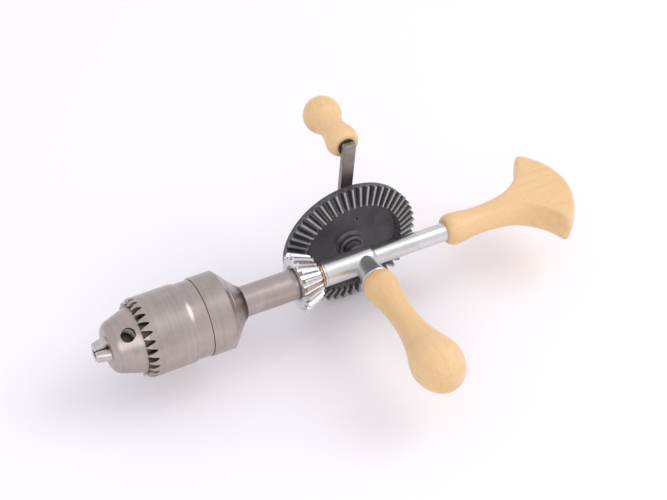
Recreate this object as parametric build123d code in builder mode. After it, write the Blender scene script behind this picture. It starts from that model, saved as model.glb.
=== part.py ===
from build123d import *
import os
from math import acos, cos, hypot, pi, radians, sin, tan

# Hand drill with a breast handle, a side handle, a bevel drive and a keyed three-jaw chuck.
# +X runs along the spindle towards the bit, the side handle points to +Y, the crank turns on -Y.
# The origin is on the spindle axis in the plane of the chuck's front face.

# ---- driving dimensions, mm -------------------------------------------------------------------
GEAR_TO_NOSE = 194.5      # crank axis to the chuck's front face, along the spindle
MODULE = 2.0              # tooth size at the outer end of the bevel gears
GEAR_TEETH = 51
PINION_TEETH = 20
FACE_WIDTH = 14.0         # length of a gear tooth
PRESSURE_ANGLE = 20.0
BACKLASH = 0.34           # play between meshing teeth, at the pitch cone
BARREL_R = 9.5            # frame in front of the crank axis
TAIL_R = 6.75             # frame behind the crank axis
BORE_R = 5.0              # spindle journal
BUSH_WALL = 1.8
AXLE_R = 5.0              # crank axle
SPINDLE_R = 11.0
CHUCK_R = 28.5
SLEEVE_LENGTH = 48.0
SLEEVE_TEETH = 27
JAW_R = 4.5
JAW_ANGLE = 15.0
JAW_LENGTH = 48.0
JAW_REACH = 9.0           # jaw tips beyond the nose
GRIP_R = 2.5              # radius that the jaws hold at rest
JAW_TRAVEL = 20.0
KEY_HOLE_R = 5.0
KEY_HOLE_X = -12.5        # from the chuck's front face
KEY_HOLE_FLOOR_R = 9.5
ARM_LENGTH = 76.0
ARM_WIDTH = 9.6
ARM_THICKNESS = 5.0
ARM_LEAN = 4.5            # degrees from +Z towards -X at rest
KNOB_R = 14.0
KNOB_BALL_Y = 37.5        # from the knob's foot to the centre of its ball
KNOB_SECTIONS = ((7.5, 11.8), (19.0, 9.3))    # from the knob's foot, radius
SIDE_LENGTH = 113.0       # wooden part of the side handle
SIDE_BULB_R = 18.8
SIDE_BULB_END = 25.0      # from the bulb's widest section to its end
SIDE_SECTIONS = ((8.0, 12.7), (27.0, 9.9), (43.0, 9.4), (69.0, 13.3))    # from the ferrule, radius
ROUND = 0.5523            # handle length of a cubic curve that draws a quarter of an ellipse
BREAST_LENGTH = 101.5     # wooden part of the breast handle
BREAST_SECTIONS = ((5.0, 11.8), (26.0, 9.8), (47.0, 11.2), (61.0, 15.5), (71.5, 24.0))    # distance, radius
BREAST_TIP_X = 79.5       # from its front to the pad's tips
PAD_HALF_WIDTH = 41.0
PAD_HALF_HEIGHT = 12.0

# ---- clearances -------------------------------------------------------------------------------
RUN = 0.04                # radial, running fits
SEAT = 0.01               # radial, pressed or glued fits
GAP = 0.3                 # between faces that pass each other

os.makedirs("parts", exist_ok=True)

GEAR_X = -GEAR_TO_NOSE
AXIAL = Plane(origin=(GEAR_X, 0, 0), x_dir=(1, 0, 0), z_dir=(0, 0, 1))
SPINDLE_AXIS = Axis((GEAR_X, 0, 0), (1, 0, 0))
CRANK_AXIS = Axis((GEAR_X, 0, 0), (0, 1, 0))


def across(x):
    """Plane square to the spindle, x from the crank axis; local z points to the bit."""
    return Plane(origin=(GEAR_X + x, 0, 0), x_dir=(0, 1, 0), z_dir=(1, 0, 0))


def beside(y, x=0.0, z=0.0):
    """Plane square to the crank axis at y; local z points to -Y."""
    return Plane(origin=(GEAR_X + x, y, z), x_dir=(1, 0, 0), z_dir=(0, -1, 0))


def save(part, name):
    part.label = name
    export_step(part, f"parts/{name}.step")


# ---- bevel teeth ------------------------------------------------------------------------------
GEAR_PITCH_R = MODULE * GEAR_TEETH / 2
PINION_PITCH_R = MODULE * PINION_TEETH / 2
CONE = hypot(GEAR_PITCH_R, PINION_PITCH_R)
INNER = (CONE - FACE_WIDTH) / CONE
ADDENDUM = MODULE
DEDENDUM = 1.25 * MODULE


def involute(angle):
    return tan(angle) - angle


def space_outline(teeth, pitch_r, other_r):
    """Half widths of a tooth space by height over the pitch cone, in the plane of the outer end."""
    virtual_r = pitch_r * CONE / other_r
    virtual_teeth = teeth * CONE / other_r
    base_r = virtual_r * cos(radians(PRESSURE_ANGLE))
    heights = [-DEDENDUM, -0.6 * MODULE, -0.2 * MODULE, 0.25 * MODULE, 0.7 * MODULE, 1.3 * MODULE]
    outline = []
    for h in heights:
        r = max(virtual_r + h, base_r)
        tooth = pi / (2 * virtual_teeth) + involute(radians(PRESSURE_ANGLE)) - involute(acos(base_r / r))
        half = (virtual_r + h) * (pi / virtual_teeth - tooth) + BACKLASH / 4
        outline.append((h, half))
    return outline


def tooth_space(teeth, pitch_r, other_r):
    """Cutter between two teeth: axis along +X from the apex, space centred towards +Y."""
    along, up = other_r / CONE, pitch_r / CONE
    outline = space_outline(teeth, pitch_r, other_r)
    rings = []
    for k in (INNER - 0.06, 1.08):
        ring = []
        for side in (1, -1):
            half = [(k * (other_r - h * up), k * (pitch_r + h * along), k * side * w) for h, w in outline]
            ring += half if side == 1 else half[::-1]
        rings.append(Wire.make_polygon(ring, close=True))
    return Solid.make_loft(rings, ruled=True)


def cone_point(other_r, pitch_r, h, k=1.0):
    """Distance along the gear's own axis and radius of a point at height h over the pitch cone."""
    return k * (other_r - h * pitch_r / CONE), k * (pitch_r + h * other_r / CONE)


# ---- pinion -----------------------------------------------------------------------------------
PINION_BACK = 1.2         # rim behind the teeth
PINION_RECESS = 3.6       # depth of the dished back around the spindle
PIN_R = 1.5
tip_x, tip_r = cone_point(GEAR_PITCH_R, PINION_PITCH_R, ADDENDUM)
root_x, root_r = cone_point(GEAR_PITCH_R, PINION_PITCH_R, -DEDENDUM)
small_tip_x, small_tip_r = cone_point(GEAR_PITCH_R, PINION_PITCH_R, ADDENDUM, INNER)
small_root_r = cone_point(GEAR_PITCH_R, PINION_PITCH_R, -DEDENDUM, INNER)[1]
PINION_RIM_X = root_x + PINION_BACK
PINION_FACE_X = PINION_RIM_X - PINION_RECESS
PINION_HUB_X = small_tip_x - 1.2
SEAT_R = 8.0              # spindle seat for the pinion
PIN_X = PINION_FACE_X - 4.0
pinion_space = tooth_space(PINION_TEETH, PINION_PITCH_R, GEAR_PITCH_R)

with BuildPart() as pinion:
    with BuildSketch(AXIAL):
        with BuildLine():
            Polyline((PINION_HUB_X, SEAT_R + SEAT), (PINION_HUB_X, small_root_r - 0.6),
                     (small_tip_x, small_root_r + 0.4), (small_tip_x, small_tip_r), (tip_x, tip_r),
                     (tip_x + 1.4, tip_r), (PINION_RIM_X, root_r + 1.2), (PINION_RIM_X, SPINDLE_R + 2.6),
                     (PINION_FACE_X, SPINDLE_R + 1.2), (PINION_FACE_X, SEAT_R + SEAT), close=True)
        make_face()
    revolve(axis=SPINDLE_AXIS)
    pinion_turns = [180 + i * 360 / PINION_TEETH for i in range(PINION_TEETH)]
    with Locations(*[Location((GEAR_X, 0, 0), (turn, 0, 0)) for turn in pinion_turns]):
        add(pinion_space, mode=Mode.SUBTRACT)
    with BuildSketch(Plane.XY.offset(-30)):
        with Locations((GEAR_X + PIN_X, 0)):
            Circle(PIN_R + SEAT)
    extrude(amount=60, mode=Mode.SUBTRACT)
save(pinion.part, "pinion")

# ---- thrust bearing between the pinion and the frame ------------------------------------------
RACE = 1.2
BALL_R = 1.2
BALL_COUNT = 12
BALL_RING_R = 8.1
BALL_PLAY = 0.02
CAGE_THICKNESS = 1.0
race_1_x = PINION_HUB_X - RACE
ball_x = race_1_x - BALL_R - BALL_PLAY
race_2_x = ball_x - BALL_R - BALL_PLAY - RACE
BARREL_END_X = race_2_x


def ring_part(x, length, inner, outer):
    with BuildPart() as ring:
        with BuildSketch(across(x)):
            Circle(outer)
            Circle(inner, mode=Mode.SUBTRACT)
        extrude(amount=length)
    return ring.part


save(ring_part(race_1_x, RACE, BORE_R + SEAT, BARREL_R), "thrust_race_pinion")
save(ring_part(race_2_x, RACE, BORE_R + 2 * GAP, BARREL_R), "thrust_race_frame")

with BuildPart() as thrust_balls:
    with Locations(across(ball_x)):
        with PolarLocations(BALL_RING_R, BALL_COUNT):
            Sphere(BALL_R)
save(thrust_balls.part, "thrust_balls")

with BuildPart() as ball_cage:
    with BuildSketch(across(ball_x - CAGE_THICKNESS / 2)):
        Circle(BARREL_R + 0.3)
        Circle(BORE_R + 2 * GAP, mode=Mode.SUBTRACT)
        with PolarLocations(BALL_RING_R, BALL_COUNT):
            Circle(BALL_R + RUN, mode=Mode.SUBTRACT)
    extrude(amount=CAGE_THICKNESS)
save(ball_cage.part, "ball_cage")

# ---- frame ------------------------------------------------------------------------------------
BUSH_R = BORE_R + BUSH_WALL
BUSH_LENGTH = 20.0
JOURNAL_END_X = BARREL_END_X - BUSH_LENGTH
SCREW_X = JOURNAL_END_X + 4.5
BREAST_X = -66.5          # front of the breast handle
TANG_R = 4.5
TANG_END_X = BREAST_X - 84.0
BOSS_Y = -17.0            # end of the crank boss
BOSS_R = 6.3
BOSS_FOOT_R = 8.6
FERRULE_Y = 22.0          # where the side handle's wood starts
FERRULE_R = 10.6
STUD_R = 4.0
SET_SCREW_R = 2.0

with BuildPart() as frame_bar:
    with BuildSketch(AXIAL):
        with BuildLine():
            Polyline((BARREL_END_X, 0), (BARREL_END_X, BARREL_R - 0.6), (BARREL_END_X - 0.6, BARREL_R),
                     (-6.0, BARREL_R), (-9.5, TAIL_R), (BREAST_X - 3.0, TAIL_R), (BREAST_X - 3.0, TANG_R),
                     (TANG_END_X, TANG_R), (TANG_END_X, 0), close=True)
        make_face()
    revolve(axis=SPINDLE_AXIS)
    with BuildSketch(across(BARREL_END_X)):
        Circle(BUSH_R + SEAT)
    extrude(amount=-BUSH_LENGTH, mode=Mode.SUBTRACT)
    with BuildSketch(across(BARREL_END_X)):
        Circle(BORE_R + 0.5)
    extrude(amount=-(BUSH_LENGTH + 1.5), mode=Mode.SUBTRACT)
    with BuildSketch(beside(-1.0)):
        Circle(AXLE_R + SEAT)
    extrude(amount=30, mode=Mode.SUBTRACT)
    with BuildSketch(beside(0.5)):
        Circle(STUD_R + SEAT)
    extrude(amount=-20, mode=Mode.SUBTRACT)
    with BuildSketch(Plane.XY):
        with Locations((GEAR_X + SCREW_X, 0)):
            Circle(SET_SCREW_R + SEAT)
    extrude(amount=-20, mode=Mode.SUBTRACT)
save(frame_bar.part, "frame_bar")

with BuildPart() as crank_boss:
    with BuildSketch(AXIAL):
        with BuildLine():
            Polyline((AXLE_R + SEAT, 0), (BOSS_FOOT_R, 0), (BOSS_FOOT_R, -7.0), (BOSS_R + 0.3, -11.0),
                     (BOSS_R, -12.0), (BOSS_R, BOSS_Y), (AXLE_R + SEAT, BOSS_Y), close=True)
        make_face()
    revolve(axis=CRANK_AXIS)
    with BuildSketch(across(-40)):
        Circle(BARREL_R + SEAT)
    extrude(amount=80, mode=Mode.SUBTRACT)
save(crank_boss.part, "crank_boss")

with BuildPart() as spindle_bush:
    add(ring_part(JOURNAL_END_X, BUSH_LENGTH, BORE_R + RUN, BUSH_R))
    with BuildSketch(Plane.XY):
        with Locations((GEAR_X + SCREW_X, 0)):
            Circle(SET_SCREW_R + SEAT)
    extrude(amount=-20, mode=Mode.SUBTRACT)
save(spindle_bush.part, "spindle_bush")

with BuildPart() as retaining_screw:
    with BuildSketch(Plane.XY.offset(-(BORE_R - 0.5))):
        with Locations((GEAR_X + SCREW_X, 0)):
            Circle(SET_SCREW_R)
    extrude(amount=-(BARREL_R - BORE_R + 0.2))
    with BuildSketch(Plane.XY.offset(-(BARREL_R + 0.5))):
        with Locations((GEAR_X + SCREW_X, 0)):
            Rectangle(2 * SET_SCREW_R + 1, 0.8)
    extrude(amount=1.6, mode=Mode.SUBTRACT)
save(retaining_screw.part, "retaining_screw")

# ---- spindle ----------------------------------------------------------------------------------
CHUCK_REAR_X = GEAR_TO_NOSE - 100.7
CHUCK_SEAT_R = 8.0
CHUCK_SEAT_LENGTH = 28.0
with BuildPart() as spindle:
    with BuildSketch(AXIAL):
        with BuildLine():
            Polyline((JOURNAL_END_X + 0.6, 0), (JOURNAL_END_X + 0.6, BORE_R - 0.5), (JOURNAL_END_X + 1.1, BORE_R),
                     (SCREW_X - SET_SCREW_R - GAP, BORE_R), (SCREW_X - SET_SCREW_R - GAP, BORE_R - 0.8),
                     (SCREW_X + SET_SCREW_R + GAP, BORE_R - 0.8), (SCREW_X + SET_SCREW_R + GAP, BORE_R),
                     (PINION_HUB_X, BORE_R), (PINION_HUB_X, SEAT_R), (PINION_FACE_X, SEAT_R),
                     (PINION_FACE_X, SPINDLE_R - 1.6), (PINION_FACE_X + 1.6, SPINDLE_R),
                     (CHUCK_REAR_X, SPINDLE_R), (CHUCK_REAR_X, CHUCK_SEAT_R),
                     (CHUCK_REAR_X + CHUCK_SEAT_LENGTH - 1, CHUCK_SEAT_R),
                     (CHUCK_REAR_X + CHUCK_SEAT_LENGTH, CHUCK_SEAT_R - 1),
                     (CHUCK_REAR_X + CHUCK_SEAT_LENGTH, 0), close=True)
        make_face()
    revolve(axis=SPINDLE_AXIS)
    with BuildSketch(Plane.XY.offset(-30)):
        with Locations((GEAR_X + PIN_X, 0)):
            Circle(PIN_R + SEAT)
    extrude(amount=60, mode=Mode.SUBTRACT)
save(spindle.part, "spindle")

PIN_HALF_LENGTH = root_r - 2.5
with BuildPart() as pinion_pin:
    with BuildSketch(Plane.XY.offset(-PIN_HALF_LENGTH)):
        with Locations((GEAR_X + PIN_X, 0)):
            Circle(PIN_R)
    extrude(amount=2 * PIN_HALF_LENGTH)
save(pinion_pin.part, "pinion_pin")

# ---- chuck ------------------------------------------------------------------------------------
NOSE_X = GEAR_TO_NOSE
SLEEVE_FRONT_X = NOSE_X - 20.0
SLEEVE_REAR_X = SLEEVE_FRONT_X - SLEEVE_LENGTH
SLEEVE_WALL = 2.9
SLEEVE_RELIEF = 1.1       # step down of the band at the sleeve's rear
NECK_R = 23.9             # core under the sleeve's teeth
CORE_R = CHUCK_R - SLEEVE_WALL - GAP
RING_REAR_X = SLEEVE_REAR_X - 16.9
NUT_LENGTH = 8.0
NUT_X = SLEEVE_FRONT_X - 16.5
JAW_TIP_X = NOSE_X + JAW_REACH
JAW_TIP_CENTRE = 2.7      # jaw centre line to the spindle axis, at the tip
JAW_SLOPE = tan(radians(JAW_ANGLE))
JAW_ANGLES = (150, 270, 30)
BIT_BORE_R = 6.6
NUT_FLOOR_R = 14.0
NOSE_R = 13.2             # flat of the chuck's front face
RING_FRONT_X = SLEEVE_REAR_X - GAP


def jaw_radius(x):
    """Radius of the jaws' centre lines at x from the crank axis."""
    return JAW_TIP_CENTRE + (JAW_TIP_X - x) * JAW_SLOPE


def jaw_rod(radius, start_x, end_x):
    """Rod along the first jaw's centre line, its ends at two distances from the crank axis."""
    start = Vector(GEAR_X + start_x, 0, jaw_radius(start_x))
    end = Vector(GEAR_X + end_x, 0, jaw_radius(end_x))
    lean = Plane(origin=start, z_dir=end - start)
    return lean * Pos(0, 0, (end - start).length / 2) * Cylinder(radius, (end - start).length)


def about_spindle(shape, angle):
    return shape.rotate(SPINDLE_AXIS, angle)


JAW_REAR_X = JAW_TIP_X - JAW_LENGTH * cos(radians(JAW_ANGLE))
jaw_bore = jaw_rod(JAW_R + RUN + 0.03, JAW_REAR_X - JAW_TRAVEL - 0.5, JAW_TIP_X + 5)
NUT_CONE_1 = jaw_radius(NUT_X) + JAW_R / cos(radians(JAW_ANGLE)) + 0.15
NUT_CONE_2 = jaw_radius(NUT_X + NUT_LENGTH) + JAW_R / cos(radians(JAW_ANGLE)) + 0.15

with BuildPart() as chuck_body:
    with BuildSketch(AXIAL):
        with BuildLine():
            Polyline((CHUCK_REAR_X, CHUCK_SEAT_R + SEAT), (CHUCK_REAR_X, SPINDLE_R + 0.9),
                     (CHUCK_REAR_X + 3.2, SPINDLE_R + 3.2), (RING_REAR_X - 4.2, CHUCK_R - 4.6),
                     (RING_REAR_X - 3.8, CHUCK_R - 4.6), (RING_REAR_X - 3.8, CHUCK_R - 4.0), (RING_REAR_X, CHUCK_R),
                     (RING_FRONT_X - 0.5, CHUCK_R), (RING_FRONT_X, CHUCK_R - 0.5),
                     (RING_FRONT_X, CORE_R), (NUT_X - GAP, CORE_R), (NUT_X - GAP, NUT_FLOOR_R),
                     (NUT_X + NUT_LENGTH + GAP, NUT_FLOOR_R), (NUT_X + NUT_LENGTH + GAP, NECK_R),
                     (SLEEVE_FRONT_X - 1.0, NECK_R), (NOSE_X - 4.5, 18.6))
            ThreePointArc((NOSE_X - 4.5, 18.6), (NOSE_X - 1.6, 16.6), (NOSE_X, NOSE_R))
            Polyline((NOSE_X, NOSE_R), (NOSE_X, BIT_BORE_R), (CHUCK_REAR_X + CHUCK_SEAT_LENGTH + 2, BIT_BORE_R),
                     (CHUCK_REAR_X + CHUCK_SEAT_LENGTH + 2, CHUCK_SEAT_R + SEAT),
                     (CHUCK_REAR_X, CHUCK_SEAT_R + SEAT))
        make_face()
    revolve(axis=SPINDLE_AXIS)
    for angle in JAW_ANGLES:
        add(about_spindle(jaw_bore, angle), mode=Mode.SUBTRACT)
    for angle in JAW_ANGLES:
        turn = radians(angle + 180)
        outward = (0, -sin(turn), cos(turn))
        with BuildSketch(Plane(origin=(KEY_HOLE_X, KEY_HOLE_FLOOR_R * outward[1], KEY_HOLE_FLOOR_R * outward[2]),
                               x_dir=(1, 0, 0), z_dir=outward)):
            Circle(KEY_HOLE_R)
        extrude(amount=20, mode=Mode.SUBTRACT)
save(chuck_body.part, "chuck_body")

NOTCH_DEPTH = 7.6
NOTCH_WIDTH = 0.86 * 2 * pi * CHUCK_R / SLEEVE_TEETH
with BuildPart() as notch:
    with BuildSketch(Plane(origin=(GEAR_X + SLEEVE_FRONT_X, 0, 20), x_dir=(1, 0, 0), z_dir=(0, 0, 1))):
        with BuildLine():
            Spline((0.5, NOTCH_WIDTH / 2 + 0.4), (-0.35 * NOTCH_DEPTH, 0.36 * NOTCH_WIDTH),
                   (-NOTCH_DEPTH, 0), (-0.35 * NOTCH_DEPTH, -0.36 * NOTCH_WIDTH),
                   (0.5, -NOTCH_WIDTH / 2 - 0.4))
            Line((0.5, -NOTCH_WIDTH / 2 - 0.4), (0.5, NOTCH_WIDTH / 2 + 0.4))
        make_face()
    extrude(amount=12)

with BuildPart() as chuck_sleeve:
    with BuildSketch(AXIAL):
        with BuildLine():
            Polyline((SLEEVE_REAR_X, CHUCK_R - SLEEVE_WALL), (SLEEVE_REAR_X, CHUCK_R - SLEEVE_RELIEF),
                     (SLEEVE_REAR_X + 9.5, CHUCK_R - SLEEVE_RELIEF), (SLEEVE_REAR_X + 13.5, CHUCK_R),
                     (SLEEVE_FRONT_X - 4.0, CHUCK_R), (SLEEVE_FRONT_X, CHUCK_R - 1.8),
                     (SLEEVE_FRONT_X, CHUCK_R - SLEEVE_WALL), close=True)
        make_face()
    revolve(axis=SPINDLE_AXIS)
    for i in range(SLEEVE_TEETH):
        add(about_spindle(notch.part, i * 360 / SLEEVE_TEETH), mode=Mode.SUBTRACT)
save(chuck_sleeve.part, "chuck_sleeve")

with BuildPart() as split_nut:
    with BuildSketch(AXIAL):
        with BuildLine():
            Polyline((NUT_X, NUT_CONE_1), (NUT_X, CHUCK_R - SLEEVE_WALL - SEAT),
                     (NUT_X + NUT_LENGTH, CHUCK_R - SLEEVE_WALL - SEAT), (NUT_X + NUT_LENGTH, NUT_CONE_2),
                     close=True)
        make_face()
    revolve(axis=SPINDLE_AXIS)
save(split_nut.part, "split_nut")

# Each jaw is a leaning rod whose tip keeps one third of the circle, with a groove for the shank.
JAW_FACE_GAP = 0.5        # from a jaw's side face to the plane halfway to its neighbour
jaw_apex = JAW_FACE_GAP / sin(radians(60))
long_jaw = jaw_rod(JAW_R, JAW_REAR_X, JAW_TIP_X + 4)
with BuildPart() as jaw_1:
    add(long_jaw)
    with BuildSketch(across(JAW_TIP_X)):
        Rectangle(40, 40)
    extrude(amount=20, mode=Mode.SUBTRACT)
    with BuildSketch(across(0)):
        with BuildLine():
            Polyline((0, jaw_apex), (-70, jaw_apex + 70 / tan(radians(60))), (-70, -70),
                     (70, -70), (70, jaw_apex + 70 / tan(radians(60))), close=True)
        make_face()
    extrude(amount=JAW_TIP_X + 10, mode=Mode.SUBTRACT)
    with BuildSketch(across(0)):
        Circle(GRIP_R)
    extrude(amount=JAW_TIP_X + 10, mode=Mode.SUBTRACT)
for i, angle in enumerate(JAW_ANGLES):
    save(about_spindle(jaw_1.part, angle), f"jaw_{i + 1}")

# ---- drive gear -------------------------------------------------------------------------------
HUB_FRONT_Y = -14.9
HUB_NECK_R = 9.2
HUB_SOCKET_R = BOSS_R + 0.9    # clear of the boss, which ends inside it
HUB_SOCKET_Y = BOSS_Y - GAP
WEB_FRONT_Y = -20.5
WEB_BACK_Y = -23.4
RIM_BACK_Y = -25.2
HUB_BACK_Y = -31.0
WASHER_Y = -26.8
HUB_R = 14.0
gear_tip_y, gear_tip_r = cone_point(PINION_PITCH_R, GEAR_PITCH_R, ADDENDUM)
gear_root_y, gear_root_r = cone_point(PINION_PITCH_R, GEAR_PITCH_R, -DEDENDUM)
gear_small_y, gear_small_r = cone_point(PINION_PITCH_R, GEAR_PITCH_R, ADDENDUM, INNER)
gear_small_root_y, gear_small_root_r = cone_point(PINION_PITCH_R, GEAR_PITCH_R, -DEDENDUM, INNER)
WASHER_R = 7.2
WASHER_THICKNESS = 1.2
AXLE_SCREW_R = 2.5
CRANK_SCREW_R = 2.0
CRANK_SCREW_PITCH = 10.6
gear_space = tooth_space(GEAR_TEETH, GEAR_PITCH_R, PINION_PITCH_R)
OIL_HOLE_AT = 21.5        # from the crank axis
OIL_HOLE_ANGLE = 107      # from +X towards +Z
OIL_HOLE_R = 1.3

with BuildPart() as drive_gear:
    with BuildSketch(AXIAL):
        with BuildLine():
            Polyline((AXLE_R + RUN, HUB_SOCKET_Y), (HUB_SOCKET_R, HUB_SOCKET_Y), (HUB_SOCKET_R, HUB_FRONT_Y),
                     (HUB_NECK_R - 0.7, HUB_FRONT_Y), (HUB_NECK_R, HUB_FRONT_Y - 0.7),
                     (HUB_NECK_R, WEB_FRONT_Y + 1.6), (HUB_NECK_R + 1.6, WEB_FRONT_Y),
                     (gear_small_root_r - 1.6, WEB_FRONT_Y),
                     (gear_small_root_r - 0.6, -gear_small_root_y - 1.2), (gear_small_r, -gear_small_y),
                     (gear_tip_r, -gear_tip_y), (gear_root_r + 0.3, -gear_root_y),
                     (gear_root_r + 0.3, RIM_BACK_Y + 0.4), (gear_root_r - 0.1, RIM_BACK_Y),
                     (gear_root_r - 6, RIM_BACK_Y), (gear_root_r - 8, WEB_BACK_Y), (HUB_R + 2, WEB_BACK_Y),
                     (HUB_R, WEB_BACK_Y - 2), (HUB_R, HUB_BACK_Y), (WASHER_R + GAP, HUB_BACK_Y),
                     (WASHER_R + GAP, WASHER_Y + GAP), (AXLE_R + RUN, WASHER_Y + GAP), close=True)
        make_face()
    revolve(axis=CRANK_AXIS)
    half_pitch = 180 / GEAR_TEETH
    for i in range(GEAR_TEETH):
        turned = gear_space.rotate(Axis.Z, -90).rotate(Axis.Y, (2 * i + 1) * half_pitch)
        add(turned.translate((GEAR_X, 0, 0)), mode=Mode.SUBTRACT)
    with BuildSketch(beside(WEB_FRONT_Y + 1)):
        with PolarLocations(OIL_HOLE_AT, 1, start_angle=OIL_HOLE_ANGLE):
            Circle(OIL_HOLE_R)
    extrude(amount=10, mode=Mode.SUBTRACT)
    with BuildSketch(beside(HUB_BACK_Y)):
        with Locations((CRANK_SCREW_PITCH, 0), (-CRANK_SCREW_PITCH, 0)):
            Circle(CRANK_SCREW_R + SEAT)
    extrude(amount=-9, mode=Mode.SUBTRACT)
save(drive_gear.part, "drive_gear")

with BuildPart() as gear_axle:
    with BuildSketch(beside(-1.2)):
        Circle(AXLE_R)
    extrude(amount=-WASHER_Y - 1.2)
    with BuildSketch(beside(WASHER_Y)):
        Circle(AXLE_SCREW_R + SEAT)
    extrude(amount=-13, mode=Mode.SUBTRACT)
save(gear_axle.part, "gear_axle")

with BuildPart() as axle_washer:
    with BuildSketch(beside(WASHER_Y)):
        Circle(WASHER_R)
        Circle(AXLE_SCREW_R + SEAT, mode=Mode.SUBTRACT)
    extrude(amount=WASHER_THICKNESS)
save(axle_washer.part, "axle_washer")

with BuildPart() as axle_screw:
    with BuildSketch(beside(WASHER_Y - WASHER_THICKNESS)):
        Circle(4.5)
    extrude(amount=2.2)
    with BuildSketch(beside(WASHER_Y - WASHER_THICKNESS)):
        Circle(AXLE_SCREW_R)
    extrude(amount=-12)
    with BuildSketch(beside(WASHER_Y - WASHER_THICKNESS - 2.2)):
        Rectangle(10, 1.0)
    extrude(amount=-1.0, mode=Mode.SUBTRACT)
save(axle_screw.part, "axle_screw")

# ---- crank ------------------------------------------------------------------------------------
ARM_Y = HUB_BACK_Y
ARM_BACK_Y = ARM_Y - ARM_THICKNESS
KNOB_X = -ARM_LENGTH * sin(radians(ARM_LEAN))
KNOB_Z = ARM_LENGTH * cos(radians(ARM_LEAN))
KNOB_PIN_R = 3.0
PIN_THREAD_R = 2.6
PIN_THREAD_LENGTH = 3.8   # blind in the arm
ARM_CORNER_R = 1.8
KNOB_WASHER = 1.0

with BuildPart() as crank_arm:
    with BuildSketch(beside(ARM_Y)):
        Circle(HUB_R)
        with Locations(Location((KNOB_X / 2, KNOB_Z / 2, 0), (0, 0, 90 + ARM_LEAN))):
            RectangleRounded(ARM_LENGTH + ARM_WIDTH, ARM_WIDTH, ARM_CORNER_R)
    extrude(amount=ARM_THICKNESS)
    with BuildSketch(beside(ARM_BACK_Y)):
        with Locations((KNOB_X, KNOB_Z)):
            Circle(PIN_THREAD_R + SEAT)
    extrude(amount=-PIN_THREAD_LENGTH, mode=Mode.SUBTRACT)
    with BuildSketch(beside(ARM_Y)):
        with Locations((CRANK_SCREW_PITCH, 0), (-CRANK_SCREW_PITCH, 0)):
            Circle(CRANK_SCREW_R + SEAT)
    extrude(amount=ARM_THICKNESS, mode=Mode.SUBTRACT)
    chamfer(crank_arm.faces().sort_by(Axis.Y)[0].outer_wire().edges(), 0.6)
    chamfer(crank_arm.faces().sort_by(Axis.Y)[-1].outer_wire().edges(), 0.6)
save(crank_arm.part, "crank_arm")

with BuildPart() as crank_screws:
    with BuildSketch(beside(ARM_BACK_Y)):
        with Locations((CRANK_SCREW_PITCH, 0), (-CRANK_SCREW_PITCH, 0)):
            Circle(3.2)
    extrude(amount=2.0)
    with BuildSketch(beside(ARM_BACK_Y)):
        with Locations((CRANK_SCREW_PITCH, 0), (-CRANK_SCREW_PITCH, 0)):
            Circle(CRANK_SCREW_R)
    extrude(amount=-(ARM_THICKNESS + 8))
    with BuildSketch(beside(ARM_BACK_Y - 2.0)):
        with Locations((CRANK_SCREW_PITCH, 0), (-CRANK_SCREW_PITCH, 0)):
            Rectangle(8, 0.9)
    extrude(amount=-0.9, mode=Mode.SUBTRACT)
save(crank_screws.part, "crank_screws")

KNOB_Y = ARM_BACK_Y - KNOB_WASHER - 0.2
KNOB_BALL_CENTRE_Y = KNOB_Y - KNOB_BALL_Y
KNOB_RIM_R = 7.0
KNOB_END_Y = KNOB_BALL_CENTRE_Y - (KNOB_R ** 2 - KNOB_RIM_R ** 2) ** 0.5
HEAD_Y = KNOB_END_Y + 4.5
with BuildPart() as knob_washer:
    with BuildSketch(beside(ARM_BACK_Y, KNOB_X, KNOB_Z)):
        Circle(6.5)
        Circle(KNOB_PIN_R + SEAT, mode=Mode.SUBTRACT)
    extrude(amount=KNOB_WASHER)
save(knob_washer.part, "knob_washer")

with BuildPart() as knob_screw:
    with BuildSketch(beside(ARM_BACK_Y, KNOB_X, KNOB_Z)):
        Circle(PIN_THREAD_R)
    extrude(amount=-PIN_THREAD_LENGTH)
    with BuildSketch(beside(ARM_BACK_Y, KNOB_X, KNOB_Z)):
        Circle(KNOB_PIN_R)
    extrude(amount=ARM_BACK_Y - HEAD_Y)
    with BuildSketch(beside(HEAD_Y, KNOB_X, KNOB_Z)):
        Circle(4.8)
    extrude(amount=2.4)
    with BuildSketch(beside(HEAD_Y - 2.4, KNOB_X, KNOB_Z)):
        Rectangle(12, 1.1)
    extrude(amount=-1.1, mode=Mode.SUBTRACT)
save(knob_screw.part, "knob_screw")

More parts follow.
